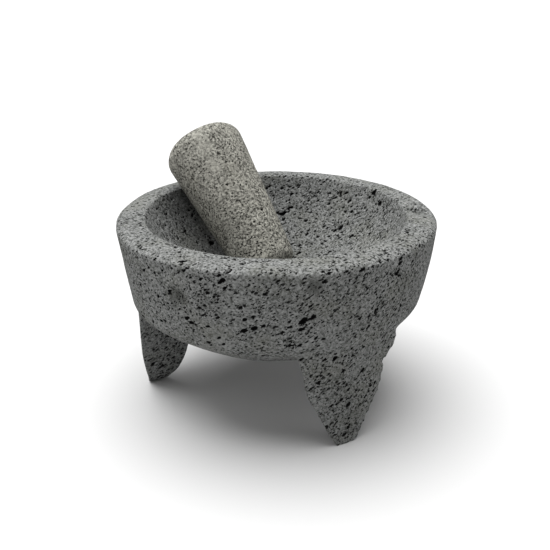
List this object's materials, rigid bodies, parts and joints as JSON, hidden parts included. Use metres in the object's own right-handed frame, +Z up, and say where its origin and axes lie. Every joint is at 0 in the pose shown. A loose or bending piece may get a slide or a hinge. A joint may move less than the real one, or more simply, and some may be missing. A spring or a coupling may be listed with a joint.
{
  "type": "molcajete",
  "caption": "Round footed mortar of porous volcanic stone with a deep bowl and a loose tapered stone pestle resting in it, for crushing and grinding food by hand.",
  "frame": {"origin": "on the floor plane, on the vertical axis of the bowl", "axes": "+Z up along the bowl's axis; one leg points near -X; the pestle leans back and to -X"},
  "size_m": [0.2008, 0.2008, 0.1677],
  "materials": {
    "mortar_basalt": "rough-hewn vesicular basalt, matt, open pores",
    "pestle_basalt": "fine-grained basalt, matt, lightly smoothed by handling"
  },
  "bodies": {
    "mortar": {"mortar": "mortar_basalt"},
    "pestle": {"pestle": "pestle_basalt"}
  },
  "joints": [
    {"name": "pestle_lift", "type": "slide", "parent": "mortar", "child": "pestle", "axis": [0, 0, 1], "range_m": [0, 0.15]}
  ]
}
